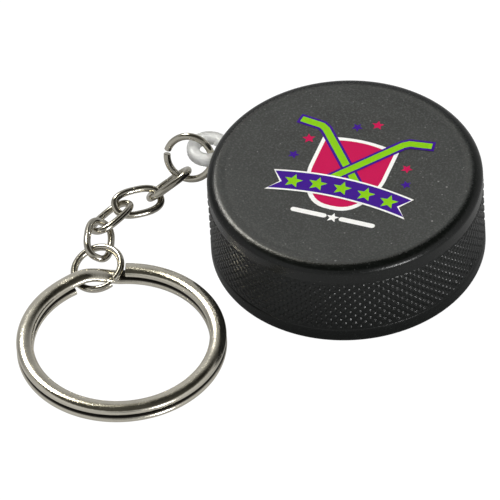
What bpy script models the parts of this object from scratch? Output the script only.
"""A foam hockey puck key chain.

The puck stands on its flat bottom, centred on the origin, with its moulded eyelet toward -X.
From the eyelet run a jump ring, four oval links, an end ring and a split ring that lies flat.
"""

import math

import bmesh
import bpy
from mathutils import Euler, Matrix, Vector

MM = 0.001
CLEARANCE = 0.3 * MM

# Puck: a turned foam body with two plain lips and a recessed grip band between them
PUCK_RADIUS = 19.05 * MM
PUCK_HEIGHT = 14.0 * MM
TOP_EDGE_RADIUS = 1.1 * MM
BOTTOM_EDGE_RADIUS = 0.7 * MM
BAND_LOW = 2.5 * MM
BAND_HIGH = 11.3 * MM
BAND_DEPTH = 0.25 * MM
PUCK_SEGMENTS = 64
EDGE_STEPS = 4

# Eyelet: a flat loop outside the wall, and a stem with a disc anchor inside the foam
LOOP_CENTRE = Vector((-22.18, 0.0, 8.25)) * MM
LOOP_RADIUS = 2.2 * MM
LOOP_HALF_WIDTH = 0.88 * MM
LOOP_HALF_HEIGHT = 0.8 * MM
STEM_RADIUS = 0.9 * MM
STEM_LENGTH = 6.5 * MM
ANCHOR_RADIUS = 3.0 * MM
ANCHOR_THICKNESS = 1.2 * MM
LOOP_SEGMENTS = 28
STEM_SEGMENTS = 20

# Wire rings and links, measured to the middle of the wire
WIRE_RADIUS = 0.5 * MM
WIRE_SIDES = 8
JUMP_RING_RADIUS = 3.22 * MM
END_RING_RADIUS = 3.4 * MM
RING_GAP = math.radians(11.0)
RING_OFFSET = 0.12 * MM
RING_STEPS = 36
LINK_LENGTH = 6.6 * MM
LINK_WIDTH = 3.65 * MM
LINK_STEPS = 28
LINK_SQUARENESS = 2.6

# Split ring: two flat coils of one wire, joined by a jog that the end ring sits on
SPLIT_CENTRE = Vector((-17.05, -32.3, 0.0)) * MM
SPLIT_RADIUS = 13.3 * MM
COIL_HALF_WIDTH = 1.17 * MM
COIL_HALF_HEIGHT = 0.66 * MM
COIL_LOW = 0.66 * MM
COIL_RISE = 1.37 * MM
TOP_END = math.radians(119.0)
BOTTOM_END = math.radians(152.0)
JOG_START = math.radians(144.5)
JOG_END = math.radians(121.5)
HUMP_AT = math.radians(148.0)
HUMP_SPREAD = math.radians(9.0)
HUMP_HEIGHT = 0.12 * MM
COIL_STEP = math.radians(6.0)
COIL_SIDES = 10
COIL_SQUARENESS = 2.3

# The chain as it lies: centre in millimetres, then roll, dip and heading in degrees
JUMP_RING_POSE = ((-24.43, -1.6, 6.88), (-68.0, -8.0, -165.0))
LINK_POSES = (
    ((-26.17, -4.57, 3.49), (37.0, 27.0, -128.0)),
    ((-28.7, -8.85, 2.55), (-23.0, -3.0, -130.0)),
    ((-30.5, -13.05, 2.35), (26.0, 3.0, -101.0)),
    ((-29.65, -17.6, 2.3), (-31.0, 3.0, -64.0)),
)
END_RING_POSE = ((-27.35, -21.85, 1.6), (18.0, 0.0, -21.0))

FOAM = ("black_foam", (0.045, 0.046, 0.048, 1.0), 0.62, 0.0)
CLEAR_PLASTIC = ("clear_plastic", (0.78, 0.78, 0.75, 1.0), 0.25, 0.0)
NICKEL = ("nickel_plate", (0.62, 0.59, 0.55, 1.0), 0.16, 1.0)


def clear_scene():
    for obj in list(bpy.data.objects):
        bpy.data.objects.remove(obj, do_unlink=True)


def material(spec, node):
    """A Principled material for one node."""
    name, colour, roughness, metallic = spec
    made = bpy.data.materials.new(f"{name}_{node}")
    made.use_nodes = True
    shader = made.node_tree.nodes["Principled BSDF"]
    shader.inputs["Base Color"].default_value = colour
    shader.inputs["Roughness"].default_value = roughness
    shader.inputs["Metallic"].default_value = metallic
    made.diffuse_color = colour
    return made


def mesh_object(name, mesh_data, spec, origin=None):
    """Wrap a bmesh in an object whose origin is at the given point."""
    origin = origin or Vector((0.0, 0.0, 0.0))
    bmesh.ops.translate(mesh_data, verts=mesh_data.verts, vec=-origin)
    bmesh.ops.recalc_face_normals(mesh_data, faces=mesh_data.faces)
    mesh = bpy.data.meshes.new(name)
    mesh_data.to_mesh(mesh)
    mesh_data.free()
    mesh.shade_smooth()
    mesh.set_sharp_from_angle(angle=math.radians(35.0))
    obj = bpy.data.objects.new(name, mesh)
    obj.location = origin
    obj.data.materials.append(material(spec, name))
    bpy.context.collection.objects.link(obj)
    return obj


def bridged(rings, closed):
    """Join rings of points into one skin, closed on itself or capped at both ends."""
    skin = bmesh.new()
    rows = [[skin.verts.new(point) for point in ring] for ring in rings]
    count = len(rows[0])
    pairs = list(zip(rows, rows[1:]))
    if closed:
        pairs.append((rows[-1], rows[0]))
    for row, following in pairs:
        for side in range(count):
            nxt = (side + 1) % count
            skin.faces.new((row[side], row[nxt], following[nxt], following[side]))
    if not closed:
        skin.faces.new(list(reversed(rows[0])))
        skin.faces.new(rows[-1])
    return skin


def turned(profile, segments, placement=None):
    """Turn a profile of (radius, height) points, whose ends are flat faces, about Z."""
    placement = placement or Matrix.Identity(4)
    rings = []
    for radius, height in profile:
        ring = []
        for step in range(segments):
            angle = math.tau * step / segments
            point = Vector((radius * math.cos(angle), radius * math.sin(angle), height))
            ring.append(placement @ point)
        rings.append(ring)
    return bridged(rings, closed=False)


def arc(centre_radius, centre_height, radius, start, end, steps):
    """Profile points on a round edge, from one angle to another."""
    points = []
    for step in range(steps + 1):
        angle = start + (end - start) * step / steps
        point = (centre_radius + radius * math.cos(angle), centre_height + radius * math.sin(angle))
        points.append(point)
    return points


def oval_section(half_width, half_height, sides, squareness=2.0):
    """A rounded section, as (across, up) pairs; a higher squareness fills its corners."""
    power = 2.0 / squareness
    section = []
    for side in range(sides):
        angle = math.tau * (side + 0.5) / sides
        across = math.copysign(abs(math.cos(angle)) ** power, math.cos(angle))
        up = math.copysign(abs(math.sin(angle)) ** power, math.sin(angle))
        section.append((half_width * across, half_height * up))
    return section


def swept(path, section, closed):
    """Sweep a section along a path of (point, across direction, up direction)."""
    rings = []
    for point, across, up in path:
        rings.append([point + across * width + up * height for width, height in section])
    return bridged(rings, closed)


def placement_of(pose):
    centre, turns = pose
    rotation = Euler([math.radians(turn) for turn in turns], "XYZ").to_matrix().to_4x4()
    return Matrix.Translation(Vector(centre) * MM) @ rotation


def placed(path, placement):
    turn = placement.to_3x3()
    return [(placement @ point, turn @ across, turn @ up) for point, across, up in path]


def round_path(radius, gap=0.0, offset=0.0, steps=RING_STEPS):
    """A circle in the XY plane, or an open one whose gap is at +X and whose ends pass each other."""
    path = []
    count = steps if gap == 0.0 else steps + 1
    for step in range(count):
        part = step / steps
        angle = gap / 2.0 + (math.tau - gap) * part
        outward = Vector((math.cos(angle), math.sin(angle), 0.0))
        lift = offset * (2.0 * part - 1.0)
        path.append((outward * radius + Vector((0.0, 0.0, lift)), outward, Vector((0.0, 0.0, 1.0))))
    return path


def link_path():
    """A link's centre line in the XY plane, its long side along X, with corners fuller than an ellipse's."""
    long, wide = LINK_LENGTH / 2.0, LINK_WIDTH / 2.0
    path = []
    for step in range(LINK_STEPS):
        angle = math.tau * (step + 0.5) / LINK_STEPS
        along = math.copysign(abs(math.cos(angle)) ** (2.0 / LINK_SQUARENESS), math.cos(angle))
        aside = math.copysign(abs(math.sin(angle)) ** (2.0 / LINK_SQUARENESS), math.sin(angle))
        slope = LINK_SQUARENESS - 1.0
        lean_x = math.copysign(abs(along) ** slope, along) / long
        lean_y = math.copysign(abs(aside) ** slope, aside) / wide
        outward = Vector((lean_x, lean_y, 0.0)).normalized()
        path.append((Vector((long * along, wide * aside, 0.0)), outward, Vector((0.0, 0.0, 1.0))))
    return path


def smooth_step(part):
    part = min(max(part, 0.0), 1.0)
    return part * part * (3.0 - 2.0 * part)


def split_ring_path():
    """From the top coil's end, clockwise round the top, down the jog, and round the bottom."""
    travel = math.tau - (BOTTOM_END - TOP_END) + math.tau
    steps = round(travel / COIL_STEP)
    jog_from = math.tau + TOP_END - JOG_START
    jog_length = JOG_START - JOG_END
    hump_from = math.tau + TOP_END - HUMP_AT
    path = []
    for step in range(steps + 1):
        gone = travel * step / steps
        angle = TOP_END - gone
        height = COIL_LOW + COIL_RISE * (1.0 - smooth_step((gone - jog_from) / jog_length))
        height += HUMP_HEIGHT * math.exp(-(((gone - hump_from) / HUMP_SPREAD) ** 2))
        outward = Vector((math.cos(angle), math.sin(angle), 0.0))
        point = SPLIT_CENTRE + outward * SPLIT_RADIUS + Vector((0.0, 0.0, height))
        path.append((point, outward, Vector((0.0, 0.0, 1.0))))
    return path


def pivot_inside(parent_path, placement, reach):
    """Where the parent's wire passes through the child's loop: the point that the child swings on."""
    into_child = placement.inverted()
    points = [point for point, across, up in parent_path]
    best = None
    for start, end in zip(points, points[1:] + points[:1]):
        low, high = into_child @ start, into_child @ end
        if low.z * high.z > 0.0 or low.z == high.z:
            continue
        crossing = start.lerp(end, low.z / (low.z - high.z))
        distance = (into_child @ crossing).length
        if distance < reach and (best is None or distance < best[0]):
            best = (distance, crossing)
    return best[1]


def nearest_on(parent_path, child_path):
    """The point of the parent's wire that is nearest to the child's."""
    pairs = ((one[0], other[0]) for one in parent_path for other in child_path)
    return min(pairs, key=lambda pair: (pair[0] - pair[1]).length)[0].copy()


def anchor_profile(grow, length):
    """Stem and anchor along Z, from the stem's outer end, grown for the pocket that holds them."""
    stem = STEM_RADIUS + grow
    disc = ANCHOR_RADIUS + grow
    return (
        (stem, 0.0),
        (stem, length - grow),
        (disc, length - grow),
        (disc, length + ANCHOR_THICKNESS + grow),
    )


def stem_placement(start):
    """Turn a profile's Z axis to point into the puck, toward +X, from a point on X."""
    inward = Matrix.Rotation(math.radians(90.0), 4, "Y")
    return Matrix.Translation((start, 0.0, LOOP_CENTRE.z)) @ inward


def add_boolean(obj, other, operation):
    modifier = obj.modifiers.new(operation.lower(), "BOOLEAN")
    modifier.operation = operation
    modifier.object = other
    modifier.solver = "EXACT"
    other.hide_render = True
    other.display_type = "WIRE"


def puck_profile():
    band = PUCK_RADIUS - BAND_DEPTH
    quarter = math.pi / 2.0
    bottom_centre = PUCK_RADIUS - BOTTOM_EDGE_RADIUS
    top_centre = PUCK_RADIUS - TOP_EDGE_RADIUS
    top_height = PUCK_HEIGHT - TOP_EDGE_RADIUS
    profile = arc(bottom_centre, BOTTOM_EDGE_RADIUS, BOTTOM_EDGE_RADIUS, -quarter, 0.0, EDGE_STEPS)
    profile.append((PUCK_RADIUS, BAND_LOW - BAND_DEPTH))
    profile.append((band, BAND_LOW))
    profile.append((band, BAND_HIGH))
    profile.append((PUCK_RADIUS, BAND_HIGH + BAND_DEPTH))
    profile.extend(arc(top_centre, top_height, TOP_EDGE_RADIUS, 0.0, quarter, EDGE_STEPS))
    return profile


def build_puck():
    """The foam body, with the pocket that the eyelet's stem and anchor are moulded into."""
    puck = mesh_object("puck_body", turned(puck_profile(), PUCK_SEGMENTS), FOAM)
    outside = -PUCK_RADIUS - 1.0 * MM
    stem_end = LOOP_CENTRE.x + LOOP_RADIUS
    profile = anchor_profile(CLEARANCE, stem_end + STEM_LENGTH - outside)
    pocket = mesh_object("pocket_cutter", turned(profile, STEM_SEGMENTS, stem_placement(outside)), FOAM)
    add_boolean(puck, pocket, "DIFFERENCE")


def build_eyelet():
    section = oval_section(LOOP_HALF_WIDTH, LOOP_HALF_HEIGHT, WIRE_SIDES)
    loop = placed(round_path(LOOP_RADIUS, steps=LOOP_SEGMENTS), Matrix.Translation(LOOP_CENTRE))
    eyelet = mesh_object("eyelet", swept(loop, section, True), CLEAR_PLASTIC)
    start = LOOP_CENTRE.x + LOOP_RADIUS
    profile = anchor_profile(0.0, STEM_LENGTH)
    stem = mesh_object("stem_form", turned(profile, STEM_SEGMENTS, stem_placement(start)), CLEAR_PLASTIC)
    add_boolean(eyelet, stem, "UNION")
    return loop


def build_chain(eyelet_path):
    """Each ring or link hangs on the one before, with its origin on the wire that it swings on."""
    wire = oval_section(WIRE_RADIUS, WIRE_RADIUS, WIRE_SIDES)
    jump_ring = round_path(JUMP_RING_RADIUS, RING_GAP, RING_OFFSET)
    end_ring = round_path(END_RING_RADIUS, RING_GAP, -RING_OFFSET)
    pieces = [("jump_ring", jump_ring, False, JUMP_RING_POSE)]
    for number, pose in enumerate(LINK_POSES, 1):
        pieces.append((f"chain_link_{number}", link_path(), True, pose))
    pieces.append(("end_ring", end_ring, False, END_RING_POSE))
    parent_path = eyelet_path
    for name, flat_path, closed, pose in pieces:
        placement = placement_of(pose)
        path = placed(flat_path, placement)
        reach = max(point.length for point, across, up in flat_path)
        pivot = pivot_inside(parent_path, placement, reach)
        mesh_object(name, swept(path, wire, closed), NICKEL, pivot)
        parent_path = path
    return parent_path


def build_split_ring(end_ring_path):
    section = oval_section(COIL_HALF_WIDTH, COIL_HALF_HEIGHT, COIL_SIDES, COIL_SQUARENESS)
    path = split_ring_path()
    pivot = nearest_on(end_ring_path, path)
    mesh_object("split_ring", swept(path, section, False), NICKEL, pivot)


def main():
    clear_scene()
    build_puck()
    eyelet_path = build_eyelet()
    end_ring_path = build_chain(eyelet_path)
    build_split_ring(end_ring_path)


main()
